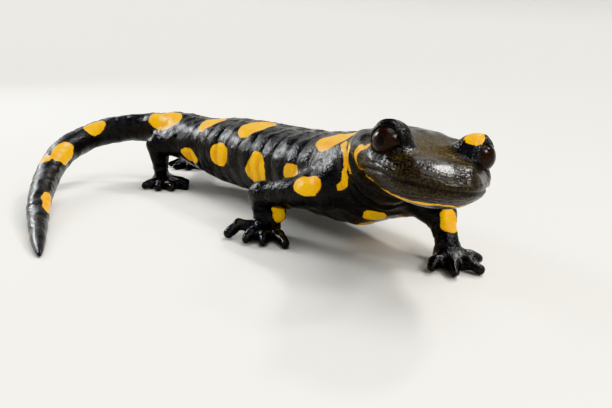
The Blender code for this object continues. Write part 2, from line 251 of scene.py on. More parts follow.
def placeEye(sideName, sign):
    # the eyeball's middle is that of the frame's own node
    outward = headAxes[1] * sign
    turn, lift = math.radians(eyeForm["gazeOutward"]), math.radians(eyeForm["gazeUp"])
    level = headAxes[0] * math.cos(turn) + outward * math.sin(turn)
    gaze = level * math.cos(lift) + headAxes[2] * math.sin(lift)
    front = unit(headAxes[0] - gaze * (headAxes[0] @ gaze))
    above = np.cross(front, gaze) * sign
    above = above if above @ headAxes[2] > 0 else -above
    centre = boxCentre("eye_" + sideName)
    brow = (centre - outward * eyeForm["browInward"] - headAxes[2] * eyeForm["browBelow"]
            - headAxes[0] * eyeForm["browBehind"])
    print("eye", sideName, "at", np.round(centre, 2))
    return {"centre": centre, "gaze": gaze, "front": front, "above": above,
            "dome": centre - outward * eyeForm["lidInward"], "brow": brow, "sign": sign,
            "opening": eyeForm["opening"][sideName]}


eyes = {"right": placeEye("right", -1), "left": placeEye("left", 1)}

glandForm = {
    "along": 20.5,
    "side": 7.0,
    "height": 0.5,
    "halfSizes": (4.6, 2.5, 2.4),
    "toeIn": 8.0,
    "blend": 1.0,
    "pittedLift": 0.6,         # its pores sit on the upper part
}

# each leg: shoulder or hip, elbow or knee, and wrist, their radii, the palm, and each digit's knuckle and tip
legs = {
    "foreRight": {
        "joints": ((23.0, 7.6, 10.5), (10.2, 3.5, 8.0), (10.2, 4.0, 4.2)),
        "radii": (3.3, 2.35, 2.2),
        "palm": (11.7, 2.8, 1.4),
        "heel": ((13.0, 5.0, 7.6), (13.3, 5.1, 4.4), 1.45),
        "digits": (((8.2, -0.3, 2.4), (8.2, -3.6, 0.8)), ((12.6, -0.7, 1.6), (13.2, -3.1, 0.8)),
                   ((14.6, 0.7, 1.5), (16.4, -0.9, 0.8)), ((15.8, 3.2, 1.4), (19.8, 1.8, 0.8))),
    },
    "foreLeft": {
        "joints": ((27.0, 20.8, 9.5), (38.4, 21.3, 7.0), (41.6, 18.9, 3.6)),
        "radii": (3.2, 2.5, 1.9),
        "palm": (43.0, 18.3, 1.4),
        "digits": (((42.7, 14.7, 1.4), (43.4, 12.6, 0.8)), ((45.6, 15.7, 1.4), (47.4, 13.9, 0.8)),
                   ((46.7, 18.5, 1.4), (49.6, 18.5, 0.8)), ((44.9, 21.3, 1.4), (46.0, 23.3, 0.8))),
    },
    "hindRight": {
        "joints": ((-30.1, 14.4, 11.0), (-38.8, 6.9, 9.9), (-39.6, 7.7, 4.2)),
        "radii": (3.8, 2.45, 2.0),
        "palm": (-37.0, 7.0, 1.4),
        "digits": (((-35.4, 2.5, 1.3), (-35.3, 0.4, 0.8)), ((-33.1, 3.9, 1.3), (-31.5, 2.4, 0.8)),
                   ((-31.2, 5.9, 1.3), (-28.6, 5.3, 0.8)), ((-30.8, 8.0, 1.3), (-28.0, 8.7, 0.8)),
                   ((-33.0, 9.8, 1.3), (-31.4, 11.2, 0.8))),
    },
    "hindLeft": {
        "joints": ((-33.0, 21.8, 10.0), (-43.6, 30.9, 8.5), (-50.3, 26.1, 4.2)),
        "radii": (3.8, 2.8, 2.0),
        "palm": (-50.6, 24.1, 1.4),
        "digits": (((-46.6, 23.3, 1.3), (-44.4, 23.5, 0.8)), ((-48.2, 20.7, 1.3), (-46.2, 19.3, 0.8)),
                   ((-50.7, 19.3, 1.3), (-49.8, 16.7, 0.8)), ((-53.2, 19.7, 1.3), (-54.0, 17.1, 0.8)),
                   ((-54.4, 22.5, 1.3), (-56.3, 21.2, 0.8))),
    },
}
footForm = {
    "palmHalfSizes": (3.3, 2.9, 1.7),
    "digitRadii": (1.15, 1.12, 0.88),
    "knuckleBlend": 0.3,
    "web": 0.7,
}
legForm = {
    "bendBlend": 1.2,
    "heelBlend": 1.4,
    "footBlend": 1.6,
    "bodyBlend": 3.2,
    "reach": 26.0,             # no part of a leg is further than this from its elbow or knee
    "muscle": 0.07,
    "creaseDepth": 0.12,
    "ringDepth": 0.06,         # the digits' rings
    "ringStep": 0.85,
}


def boneDistance(points, start, end, startRadius, endRadius):
    # distance from a round-ended tapered bar, and the share of its length at the nearest place
    start, end = np.asarray(start, float), np.asarray(end, float)
    axis = end - start
    share = np.clip((points - start) @ axis / (axis @ axis), 0.0, 1.0)
    radius = startRadius + (endRadius - startRadius) * share
    return np.linalg.norm(points - start - share[:, None] * axis, axis=1) - radius, share


def ovalDistance(points, centre, axes, halfSizes):
    # distance from an ellipsoid whose axes are the rows of axes
    local = (points - centre) @ np.asarray(axes).T
    sizes = np.asarray(halfSizes, float)
    near, far = np.linalg.norm(local / sizes, axis=1), np.linalg.norm(local / sizes ** 2, axis=1)
    return near * (near - 1) / np.maximum(far, 1e-6)


def palmAxes(leg):
    # forward along the second digit, left of it, and square to both
    ahead = unit(np.array(leg["digits"][1][1]) - np.array(leg["palm"]))
    left = unit(np.cross([0.0, 0.0, 1.0], ahead))
    return np.stack([ahead, left, np.cross(ahead, left)])


def digitBars(leg):
    # two tapered bars to each digit, palm to knuckle and knuckle to tip: their ends and radii
    first, middle, last = footForm["digitRadii"]
    pairs = []
    for knuckle, tip in leg["digits"]:
        tipCentre = np.array(tip) - unit(np.array(tip) - np.array(knuckle)) * last
        pairs.append(((leg["palm"], knuckle, first, middle), (knuckle, tipCentre, middle, last)))
    return pairs


def legDistance(points, leg):
    # the nearest of upper part, lower part, heel, palm and digits, each blended into the next
    root, bend, wrist = leg["joints"]
    rootRadius, bendRadius, wristRadius = leg["radii"]
    upper, _ = boneDistance(points, root, bend, rootRadius, bendRadius)
    lower, _ = boneDistance(points, bend, wrist, bendRadius - 0.1, wristRadius)
    limb = softMin(upper, lower, legForm["bendBlend"])
    if "heel" in leg:
        start, end, radius = leg["heel"]
        heel, _ = boneDistance(points, start, end, radius, radius)
        limb = softMin(limb, heel, legForm["heelBlend"])
    foot = ovalDistance(points, leg["palm"], palmAxes(leg), footForm["palmHalfSizes"])
    for inner, outer in digitBars(leg):
        near, _ = boneDistance(points, *inner)
        far, _ = boneDistance(points, *outer)
        foot = softMin(foot, softMin(near, far, footForm["knuckleBlend"]), footForm["web"])
    return softMin(limb, foot, legForm["footBlend"])


def glandOval(eye, lift=0.0):
    # centre, axes and half sizes of the gland behind an eye
    row = lineAt(glandForm["along"])
    centre = onBody(glandForm["along"], eye["sign"] * glandForm["side"], glandForm["height"] + lift)
    turn = math.radians(glandForm["toeIn"]) * eye["sign"]
    forward = -row[3:6] * math.cos(turn) + row[6:9] * math.sin(turn)
    left = row[6:9] * math.cos(turn) + row[3:6] * math.sin(turn)
    return centre, np.stack([forward, left, row[9:12]]), glandForm["halfSizes"]


def headDistance(points, body):
    # the body with the brows, the outsides of the lids and the glands behind the eyes
    for eye in eyes.values():
        away = points - eye["dome"]
        reach = np.linalg.norm(away, axis=1)
        height = (away @ headAxes[2]) / np.maximum(reach, 1e-6)
        under, over = eyeForm["lidUnder"], eyeForm["lidOver"]
        ahead = (away @ headAxes[0]) / np.maximum(reach, 1e-6)
        over = over + (eyeForm["lidFront"] - over) * ease(ahead, 0.05, 0.8)
        dome = reach - (under + (over - under) * ease(height, -0.45, 0.35))
        brow = np.linalg.norm(points - eye["brow"], axis=1) - eyeForm["browRadius"]
        body = softMin(body, softMin(brow, dome, eyeForm["browBlend"]), eyeForm["headBlend"])
        body = softMin(body, ovalDistance(points, *glandOval(eye)), glandForm["blend"])
    return body


def skinDistance(points, station):
    # the nearest of head, body and legs, blended where a leg joins
    whole = headDistance(points, bodyDistance(points, station))
    for leg in legs.values():
        near = np.linalg.norm(points - np.array(leg["joints"][1]), axis=1) < legForm["reach"]
        part = legDistance(points[near], leg)
        whole[near] = softMin(whole[near], part, legForm["bodyBlend"])
    return whole


def skinSlope(points, station, value, step=0.04):
    # growth of that distance over a small step along each axis
    slope = np.empty_like(points)
    for axis in range(3):
        moved = points.copy()
        moved[:, axis] += step
        slope[:, axis] = (skinDistance(moved, station) - value) / step
    return slope


def settle(points, rounds):
    # slides points along the steepest line until they lie on the skin, and gives its outward direction
    station = nearestStation(points)
    for _ in range(rounds):
        value = skinDistance(points, station)
        slope = skinSlope(points, station, value)
        move = slope * (value / np.maximum((slope ** 2).sum(axis=1), 0.05))[:, None]
        size = np.linalg.norm(move, axis=1, keepdims=True)
        points = points - move * np.minimum(1.0, 0.7 / np.maximum(size, 1e-9))
    return points, unit(slope), station


def closedTube(rings):
    # rings is (count, around, 3): quads between neighbours, and a fan to the middle of each end
    count, around, _ = rings.shape
    i = np.arange(count - 1)[:, None] * around
    j = np.arange(around)[None]
    k = (j + 1) % around
    quads = np.stack([i + j, i + k, i + k + around, i + j + around], axis=-1).reshape(-1, 4)
    ends = np.stack([rings[0].mean(axis=0), rings[-1].mean(axis=0)])
    first = count * around
    lastRing = (count - 1) * around
    j, k = j[0], k[0]
    fans = np.concatenate([np.stack([k, j, np.full(around, first)], axis=1),
                           np.stack([lastRing + j, lastRing + k, np.full(around, first + 1)], axis=1)])
    return np.concatenate([rings.reshape(-1, 3), ends]), quads.tolist() + fans.tolist()


def bodyShell(around=64, step=0.7):
    # rings of the body's section carried along its line
    middle = np.arange(0.7, lineEnd - 0.5, step)
    row = lineAt(np.concatenate([[0.02, 0.1, 0.3], middle, [lineEnd - 0.3, lineEnd - 0.05]]))
    angle = np.linspace(0, 2 * math.pi, around, endpoint=False)
    across, above = np.cos(angle), np.sin(angle)
    power = bodyLine["topSquareness"]
    across = np.where(above > 0, np.sign(across) * np.abs(across) ** power, across)
    lifted = np.where(above > 0, np.abs(above) ** power, above)
    tall = np.where(above > 0, row[:, 13:14], row[:, 14:15])
    return closedTube(row[:, None, 0:3] + row[:, None, 6:9] * (row[:, 12:13] * across)[..., None]
                      + row[:, None, 9:12] * (tall * lifted)[..., None])


def ovalShell(centre, axes, halfSizes, around=24, rings=14):
    # an ellipsoid: latitude and longitude scaled by its half sizes
    lat = np.linspace(-math.pi / 2, math.pi / 2, rings + 2)[1:-1, None]
    lon = np.linspace(0, 2 * math.pi, around, endpoint=False)[None]
    local = np.stack([np.cos(lat) * np.cos(lon), np.cos(lat) * np.sin(lon), np.sin(lat) + 0 * lon], axis=-1)
    return closedTube(np.asarray(centre) + (local * np.asarray(halfSizes)) @ np.asarray(axes))


def barShell(start, end, startRadius, endRadius, around=20):
    # a tapered bar with round ends: circles carried from start to end
    start, end = np.asarray(start, float), np.asarray(end, float)
    length = np.linalg.norm(end - start)
    axis = (end - start) / length
    side = unit(np.cross(axis, [0.31, 0.22, 0.93]))
    other = np.cross(axis, side)
    cap = np.linspace(0.1, math.pi / 2, 5)
    along = np.concatenate([-startRadius * np.cos(cap), length + endRadius * np.cos(cap[::-1])])
    radius = np.concatenate([startRadius * np.sin(cap), endRadius * np.sin(cap[::-1])])
    angle = np.linspace(0, 2 * math.pi, around, endpoint=False)
    ring = side * np.cos(angle)[:, None] + other * np.sin(angle)[:, None]
    return closedTube(start + axis * along[:, None, None] + ring[None] * radius[:, None, None])


def roughShells():
    # closed shells that overlap, one to each part of the animal
    shells = [bodyShell()]
    for eye in eyes.values():
        shells.append(ovalShell(eye["dome"], headAxes, (2.9, 2.9, 2.9)))
        shells.append(ovalShell(eye["brow"], headAxes, (3.0, 3.0, 3.0)))
        shells.append(ovalShell(*glandOval(eye)))
    for leg in legs.values():
        root, bend, wrist = leg["joints"]
        radii = leg["radii"]
        shells.append(barShell(root, bend, radii[0], radii[1]))
        shells.append(barShell(bend, wrist, radii[1], radii[2]))
        if "heel" in leg:
            start, end, radius = leg["heel"]
            shells.append(barShell(start, end, radius, radius))
        shells.append(ovalShell(leg["palm"], palmAxes(leg), footForm["palmHalfSizes"]))
        for pair in digitBars(leg):
            shells += [barShell(*bar) for bar in pair]
    return shells


def joinShells(name, shells):
    # all shells in one mesh
    points, faces, count = [], [], 0
    for shellPoints, shellFaces in shells:
        points.append(shellPoints)
        faces += [[corner + count for corner in face] for face in shellFaces]
        count += len(shellPoints)
    return meshObject(name, np.concatenate(points), faces)


def meshObject(name, points, faces):
    mesh = bpy.data.meshes.new(name)
    mesh.from_pydata((np.asarray(points) * mm).tolist(), [], faces)
    mesh.update()
    item = bpy.data.objects.new(name, mesh)
    bpy.context.scene.collection.objects.link(item)
    return item


def shadeSmooth(mesh):
    mesh.polygons.foreach_set("use_smooth", np.ones(len(mesh.polygons), bool))


def meshPoints(mesh):
    flat = np.empty(len(mesh.vertices) * 3)
    mesh.vertices.foreach_get("co", flat)
    return flat.reshape(-1, 3) / mm


def meshEdges(mesh):
    flat = np.empty(len(mesh.edges) * 2, int)
    mesh.edges.foreach_get("vertices", flat)
    return flat.reshape(-1, 2)


def neighbourMean(points, edges):
    # mean of the points at the far ends of all edges that meet in a point
    total = np.zeros_like(points)
    for axis in range(3):
        total[:, axis] = (np.bincount(edges[:, 0], points[edges[:, 1], axis], len(points))
                          + np.bincount(edges[:, 1], points[edges[:, 0], axis], len(points)))
    count = np.bincount(edges.ravel(), minlength=len(points))
    return total / np.maximum(count, 1)[:, None]


skinForm = {"voxel": 0.42, "headEnd": 27.0, "evenRounds": 3}


def oneSkin():
    # the shells become one mesh of even faces, which then moves onto the skin and evens itself along it
    rough = joinShells("roughSkin", roughShells())
    remesh = rough.modifiers.new("oneSkin", 'REMESH')
    remesh.mode = 'VOXEL'
    remesh.voxel_size = skinForm["voxel"] * mm
    mesh = bpy.data.meshes.new_from_object(rough.evaluated_get(bpy.context.evaluated_depsgraph_get()))
    bpy.data.objects.remove(rough, do_unlink=True)
    points, _, station = settle(meshPoints(mesh), 2)
    edges = meshEdges(mesh)
    for _ in range(skinForm["evenRounds"]):
        points = points + (neighbourMean(points, edges) - points) * 0.6
        points, _, station = settle(points, 1)
    mesh.vertices.foreach_set("co", (points * mm).ravel())

    # the head gets faces half as long
    onLeg = np.min([legDistance(points, leg) for leg in legs.values()], axis=0) < 0.4
    onHead = (station < skinForm["headEnd"]) & ~onLeg
    bm = bmesh.new()
    bm.from_mesh(mesh)
    fine = [edge for edge, keep in zip(bm.edges, onHead[edges].all(axis=1)) if keep]
    bmesh.ops.subdivide_edges(bm, edges=fine, cuts=1, use_grid_fill=True)
    bm.to_mesh(mesh)
    bm.free()
    points, _, station = settle(meshPoints(mesh), 2)
    edges = meshEdges(mesh)
    for _ in range(2):
        points = points + (neighbourMean(points, edges) - points) * 0.5
        points, normals, station = settle(points, 2)
    return mesh, points, normals, station


skinMesh, points, normals, station = oneSkin()
s, side, height, _, row = placeOnBody(points, station)
print("one skin:", len(points), "points,", sum(len(p.vertices) - 2 for p in skinMesh.polygons), "triangles")


wide = np.maximum(row[:, 12], 0.5)
tall = np.maximum(np.where(height > 0, row[:, 13], row[:, 14]), 0.5)
turnRound = np.degrees(np.arctan2(side / wide, height / tall))     # 0 on the back, 90 on the left flank
girth = (wide + tall) / 2
legGaps = {name: legDistance(points, leg) for name, leg in legs.items()}
nearLeg = np.min(list(legGaps.values()), axis=0)
onBodyShare = ease(nearLeg, 0.3, 2.2)       # 1 on the body, 0 on a leg
flank = np.abs(turnRound)
headPoints = (points - headStation[0:3]) @ headAxes.T
headBack = 10.0 - headPoints[:, 0]          # distance back from the snout, straight
headSide, headUp = headPoints[:, 1], headPoints[:, 2]


headForm = {
    "mouthLine": ((-2.0, -0.1), (6.0, -0.5), (12.0, -1.8), (16.5, -3.5), (20.0, -5.4)),
    "mouthEnd": 17.0,
    "mouthDepth": 0.34,
    "mouthWidth": 0.24,
    "mouthWave": 0.06,
    "lipRoll": 0.09,
    "nostril": {"back": 1.9, "side": 3.5, "height": 0.8, "radius": 0.32, "depth": 0.34, "rim": 0.06},
    # lift from the mouth and depth of the thin folds
    "lipFolds": ((1.15, 0.05), (-0.75, 0.09), (-1.3, 0.10), (-1.85, 0.08), (-2.5, 0.07)),
    "foldWidth": 0.13,
    "canthus": 0.22,           # ridge from nostril to eye
    "hollow": 0.15,            # between that ridge and the lip
    "cheek": 0.25,             # swelling behind the corner of the mouth
    "crownDip": 0.18,          # between the eyes
    "crownRise": 0.12,         # behind them
}


def headRelief():
    # lift along the normal: bell curves of the distance from mouth, folds, nostrils, ridges and cheeks
    form = headForm
    relief = np.zeros(len(points))
    nostrils = np.zeros(len(points))
    mouth = np.interp(headBack, *zip(*form["mouthLine"]))
    gap = headUp - mouth - form["mouthWave"] * np.sin(headBack * 1.3)
    present = onBodyShare * ease(headBack, form["mouthEnd"] + 1.5, form["mouthEnd"] - 0.5) * (height < 2.0)
    depth = form["mouthDepth"] * (0.8 + 0.35 * ease(headBack, 4, 11))
    relief -= depth * ridge(gap, form["mouthWidth"]) * present
    relief += form["lipRoll"] * (ridge(gap - 0.62, 0.45) + 0.7 * ridge(gap + 0.65, 0.5)) * present
    crease = ridge(gap, form["mouthWidth"] * 1.15) * present
    # thin folds along the lips and behind the corner of the mouth
    for lift, depth in form["lipFolds"]:
        fold = ridge(gap - lift - 0.12 * swell(points, 4.0), form["foldWidth"])
        fold = fold * ease(swell(points, 3.0), -0.9, 0.1)
        fold = fold * onBodyShare * ease(headBack, 0.5, 2.5) * ease(headBack, 19.5, 15.0) * (flank > 60)
        relief -= depth * fold
        crease = np.maximum(crease, 0.6 * fold)
    hole = form["nostril"]
    for sign in (-1, 1):
        away = np.sqrt((headBack - hole["back"]) ** 2 + (headSide - sign * hole["side"]) ** 2
                       + (headUp - hole["height"]) ** 2)
        nostrils[:] = np.maximum(nostrils, ease(away, 1.15, 0.45))
        relief += hole["rim"] * ridge(away - 0.7, 0.3) - hole["depth"] * ridge(away, hole["radius"])
        crease = np.maximum(crease, ridge(away, hole["radius"] * 0.9))
        # ridge from the nostril to the eye
        reach = ease(headBack, 2.2, 4.0) * ease(headBack, 9.0, 7.0) * (headUp > 0)
        relief += form["canthus"] * ridge(headSide * sign - (3.4 + (headBack - 2.0) * 0.28), 0.8) * reach
        reach = ease(headBack, 2.5, 4.5) * ease(headBack, 8.5, 6.5)
        relief -= form["hollow"] * ridge(headUp - 0.9, 0.9) * reach
    cheek = ridge(headBack - 17.0, 2.8) * ridge(headUp + 1.8, 1.9) * ease(flank, 50, 80)
    relief += form["cheek"] * cheek
    relief -= form["crownDip"] * ridge(headBack - 8.0, 3.0) * ridge(headSide, 1.8) * (height > 0)
    relief += form["crownRise"] * ridge(headBack - 14.5, 3.0) * ridge(headSide, 3.2) * (height > 0)
    return relief * (headBack < 27), crease, nostrils


trunkForm = {
    "lumps": ((5.0, 0.1), (2.6, 0.05)),        # length and rise
    "firstGroove": 44.0,
    "grooveStep": 4.35,
    "grooveDepth": 0.22,
    "grooveWidth": 0.48,
    "ribFullness": 0.10,
    "backPores": 0.13,
    "backPoreStep": 1.55,
    # distances along the line, and how far each row of pores then is from the middle of the back
    "backRow": ((30, 60, 95, 130, 170), (1.5, 1.9, 1.6, 1.0, 0.6)),
    "furrow": 0.1,
    "flankPores": 0.22,
    "flankPoreAngle": 68,
    # place and depth
    "neckFolds": ((27.2, 0.5), (29.6, 0.24), (31.8, 0.32), (34.6, 0.22)),
    "tailRingStep": 2.7,
    "tailRings": 0.1,
}


def bodyRelief():
    # lift along the normal: bell curves of the distance from grooves, folds, pores and rings
    form = trunkForm
    wander = swell(points, 9.0)
    along = s + 0.35 * wander
    relief = sum(rise * swell(points, length) for length, rise in form["lumps"])
    crease = np.zeros(len(points))
    sides = ease(flank, 22, 48) * ease(flank, 158, 125) * onBodyShare
    trunk = ease(s, 40, 44) * ease(s, 94, 90)
    # grooves between the ribs, with the skin full between them
    phase = (along - form["firstGroove"]) / form["grooveStep"]
    nearest = (phase - np.round(phase)) * form["grooveStep"]
    groove = ridge(nearest, form["grooveWidth"]) * sides * trunk
    relief += form["ribFullness"] * (1 - ridge(nearest, 1.3)) * sides * trunk
    relief -= form["grooveDepth"] * groove
    crease = np.maximum(crease, groove * 0.7)
    # folds of the neck and the throat
    for place, depth in form["neckFolds"]:
        bent = place + 0.9 * np.cos(np.radians(turnRound)) + 0.5 * swell(points, 6.0)
        below = ease(flank, 48, 80) * onBodyShare
        fold = ridge(s - bent, 0.36) * below
        relief += depth * (0.5 * ridge(s - bent - 1.1, 0.8) * below - fold)
        crease = np.maximum(crease, fold * min(1.0, depth * 2.2))
    # two rows of low pore bumps down the back, and a furrow between them
    beads = 0.5 + 0.5 * np.cos(2 * math.pi * s / form["backPoreStep"])
    backRow = ridge(np.abs(side) - np.interp(s, *form["backRow"]), 0.5)
    onBack = (height > 0) * ease(s, 30, 34) * ease(s, 165, 120)
    relief += form["backPores"] * backRow * beads ** 2 * onBack * onBodyShare
    relief -= form["furrow"] * ridge(side, 0.7) * onBack * ease(s, 34, 44) * ease(s, 120, 100)
    # one large pore bump to each rib along the flank
    dots = ridge(nearest - form["grooveStep"] / 2, 0.6) + ridge(nearest + form["grooveStep"] / 2, 0.6)
    fromRow = np.radians(flank - form["flankPoreAngle"]) * girth
    relief += form["flankPores"] * dots * ridge(fromRow, 0.6) * trunk * onBodyShare
    # rings of the tail
    tail = ease(s, 98, 106) * ease(s, 186, 176)
    rings = (along / form["tailRingStep"]) % 1.0
    ring = ridge((rings - 0.5) * form["tailRingStep"], 0.3)
    relief -= form["tailRings"] * ring * tail * onBodyShare * ease(flank, 12, 40)
    crease = np.maximum(crease, 0.4 * ring * tail * ease(flank, 20, 60))
    return relief * ease(s, 188, 174), crease * ease(s, 188, 176)


def legRelief():
    # creases at the elbows, knees, wrists and along the digits, and a little muscle
    relief = np.zeros(len(points))
    crease = np.zeros(len(points))
    for name, leg in legs.items():
        near = legGaps[name] < 1.2
        here = points[near]
        share = 1 - onBodyShare[near]
        root, bend, wrist = (np.array(joint) for joint in leg["joints"])
        lift = legForm["muscle"] * swell(here, 2.2)
        for joint, radius in ((bend, leg["radii"][1]), (wrist, leg["radii"][2])):
            along = (here - joint) @ unit(wrist - bend)
            close = ridge(np.linalg.norm(here - joint, axis=1) - radius, 1.4)
            lines = (0.5 + 0.5 * np.cos(2 * math.pi * (along + 0.25 * swell(here, 3.0)))) ** 4
            lift -= legForm["creaseDepth"] * lines * close
            crease[near] = np.maximum(crease[near], 0.4 * lines * close * share)
        for knuckle, tip in leg["digits"]:
            gap, part = boneDistance(here, knuckle, tip, 1.0, 0.7)
            length = np.linalg.norm(np.array(tip) - np.array(knuckle))
            rings = (0.5 + 0.5 * np.cos(2 * math.pi * part * length / legForm["ringStep"])) ** 4
            lift -= legForm["ringDepth"] * rings * (np.abs(gap) < 0.4) * (part > 0.02) * (part < 0.8)
        relief[near] += lift * share
    return relief, crease


headLift, headCrease, nostrils = headRelief()
bodyLift, bodyCrease = bodyRelief()
legLift, legCrease = legRelief()
# crease: grooves, folds, rings, nostrils and eye sockets, where the skin's colour gets painted shade and a
# rougher gloss
crease = np.maximum(np.maximum(headCrease, bodyCrease), legCrease)
calm = 1 - 0.6 * ease(headBack, 14, 4) * (s < 20)         # the head is smoother than the trunk
lift = headLift + bodyLift * calm + legLift
points = points + normals * lift[:, None]


def openingGap(away, eye):
    # distance along the lid from the edge of the opening, negative between the lids
    reach = np.linalg.norm(away, axis=1)
    direction = unit(away)
    ahead, up, out = (direction @ eye[axis] for axis in ("front", "above", "gaze"))
    angle = np.degrees(np.arctan2(np.hypot(ahead, up), out))
    bearing = np.arctan2(up, ahead)
    # the edge is a sum of cosines and sines through the eight half angles
    turns = np.fft.rfft(eye["opening"]) / 8
    edge = turns[0].real + turns[4].real * np.cos(4 * bearing)
    for k in (1, 2, 3):
        edge = edge + 2 * (turns[k].real * np.cos(k * bearing) - turns[k].imag * np.sin(k * bearing))
    # skin further out than the lids is never open
    return np.radians(angle - edge) * reach + 2.0 * np.maximum(reach - eyeForm["closedBeyond"], 0.0)


def openingSlope(away, eye, step=0.02):
    # how fast that distance grows along each axis
    ahead = [openingGap(away + step * axis, eye) for axis in np.eye(3)]
    behind = [openingGap(away - step * axis, eye) for axis in np.eye(3)]
    return (np.array(ahead) - np.array(behind)).T / (2 * step)


def cutOpenings(points, crease):
    # skin between the lids goes in behind the eyeball, and the lids thin to a rounded rim with folds round it
    band = eyeForm["edgeBand"]
    for eye in eyes.values():
        close = np.linalg.norm(points - eye["centre"], axis=1) < eyeForm["cutReach"]
        away = points[close] - eye["centre"]
        reach = np.linalg.norm(away, axis=1)
        gap = openingGap(away, eye)
        slope = openingSlope(away, eye)
        move = slope * (gap / np.maximum((slope ** 2).sum(axis=1), 0.2))[:, None]
        snap = (np.abs(gap) < band) & (reach < eyeForm["edgeReach"])
        direction = unit(away - move * snap[:, None])
        inside = (gap < -band) & (direction @ eye["gaze"] > -0.2)
        lifted = ease(direction @ headAxes[2], -0.35, 0.25)
        rim = eyeForm["radius"] + eyeForm["rimUnder"] + (eyeForm["rimOver"] - eyeForm["rimUnder"]) * lifted
        onLid = ease(reach, *eyeForm["lidReach"])
        thin = ease(gap, eyeForm["rimWidth"], 0.05) * onLid * (gap > -0.2)
        reach = reach - np.clip(reach - rim, 0.0, eyeForm["rimDrop"]) * thin
        reach = reach - eyeForm["rimGroove"] * ridge(gap, band)
        for place, width, rise in eyeForm["folds"]:
            reach = reach + rise * ridge(gap - place, width) * (gap > 0) * onLid
        reach = np.where(inside, eyeForm["socket"], reach)
        points[close] = eye["centre"] + direction * reach[:, None]
        # the sunk skin behind the eyeball and the folds round the opening are marked for painted shade
        fold = (0.5 * ridge(gap - 0.85, 0.2) + ridge(gap, 0.14)) * onLid
        crease[close] = np.maximum(crease[close], np.where(inside, 1.0, 0.8 * fold))


cutOpenings(points, crease)
points[:, 2] = np.maximum(points[:, 2], 0.0)              # soles and tail lie flat on the floor
print("relief:", round(float(lift.min()), 2), "to", round(float(lift.max()), 2), "mm")


markings = {
    # on the body: distance along the line, angle round from the back, half length, half width, turn
    "spots": (
        (39.1, -31, 6.1, 3.0, -10), (71.0, -18, 3.8, 4.4, 0), (87.9, -22, 3.5, 3.6, 0),
        (105.5, -42, 5.0, 3.1, 0), (126.6, -38, 3.0, 2.4, 0), (141.6, -47, 5.1, 2.5, 4),
        (146.4, 27, 2.4, 1.8, 0), (166.2, -60, 5.0, 1.6, 0), (62.6, -92, 3.8, 4.4, 8),
        (77.4, -81, 3.6, 2.8, 0), (49.7, -84, 2.8, 2.1, 12), (91.4, -104, 3.6, 2.0, 0),
        (35.3, -163, 1.4, 2.3, 0), (39.6, -168, 1.9, 1.3, 20), (37.4, 158, 2.6, 1.5, 0),
        # the far side
        (38.0, 36, 6.4, 2.4, 12), (55.5, 30, 4.4, 2.9, -8), (63.5, 82, 3.5, 3.6, 0),
        (78.5, 30, 4.9, 2.6, 10), (74.0, 94, 2.7, 2.3, 0), (48.5, 88, 3.0, 2.4, 0), (88.5, 80, 3.1, 2.3, 0),
        (97.5, 36, 4.1, 2.2, 0), (113.6, 34, 3.2, 1.8, 0), (121.0, 98, 2.4, 1.4, 0),
        (133.5, 75, 3.0, 1.6, 0), (156.5, 75, 3.0, 1.3, 0), (176.0, 112, 2.6, 0.8, 0),
        (56.0, 140, 1.8, 1.3, 0), (83.0, 132, 1.6, 1.2, 0), (20.5, 62, 3.9, 1.8, 0), (28.8, 86, 1.4, 3.4, 0),
    ),
    # stripes on the body: half width, then distance along the line and angle round
    "stripes": (
        (0.50, ((12.0, -62), (13.2, -72), (14.3, -82), (15.3, -91))),
        (0.72, ((14.7, -86), (15.6, -96), (16.1, -105), (16.2, -113), (15.8, -121))),
        (0.42, ((15.8, -122), (13.2, -127), (9.0, -132.5), (5.0, -142), (2.8, -158), (1.7, -180))),
        (0.36, ((1.7, 180), (2.0, 158), (3.4, 137), (6.0, 127), (9.5, 123), (13.5, 124))),
        (0.75, ((33.4, -48), (31.4, -62), (30.6, -78), (31.2, -94), (33.6, -108), (36.2, -106))),
        (0.55, ((28.6, -60), (28.0, -74), (28.4, -90), (29.6, -104))),
        (0.55, ((12.2, 66), (13.4, 77), (14.8, 90), (15.8, 101), (16.0, 111), (15.2, 119), (13.5, 124))),
    ),
    # on legs and lids: two ends and a radius
    "dabs": (
        ((21.2, 4.1, 12.2), (23.2, 4.6, 12.2), 1.95), ((13.6, 4.1, 8.0), (14.4, 4.8, 4.4), 1.2),
        ((41.5, 19.8, 7.9), (41.6, 19.8, 6.8), 1.9), ((52.7, 8.2, 24.3), (52.6, 8.3, 24.4), 1.5),
        ((45.8, 1.5, 26.1), (46.8, 2.4, 25.0), 0.75), ((-40.8, 4.4, 7.6), (-40.8, 4.4, 7.2), 1.1),
        ((-38.0, 28.6, 11.6), (-40.5, 30.0, 11.0), 1.6), ((-47.6, 29.8, 6.4), (-48.0, 29.6, 6.0), 1.2),
        ((30.5, 23.6, 10.4), (32.5, 23.8, 10.0), 1.5),
    ),
}


def markPlace(along, angle):
    # the place on the body's skin at a distance along its line and an angle round from the back
    row = lineAt(along)
    across, above = np.sin(np.radians(angle)), np.cos(np.radians(angle))
    power = np.where(above > 0, 2 / bodyLine["topSquareness"], 2.0)
    share = (np.abs(across) ** power + np.abs(above) ** power) ** (-1 / power)
    tallness = np.where(above > 0, row[:, 13], row[:, 14])
    return onBody(along, row[:, 12] * across * share, tallness * above * share)


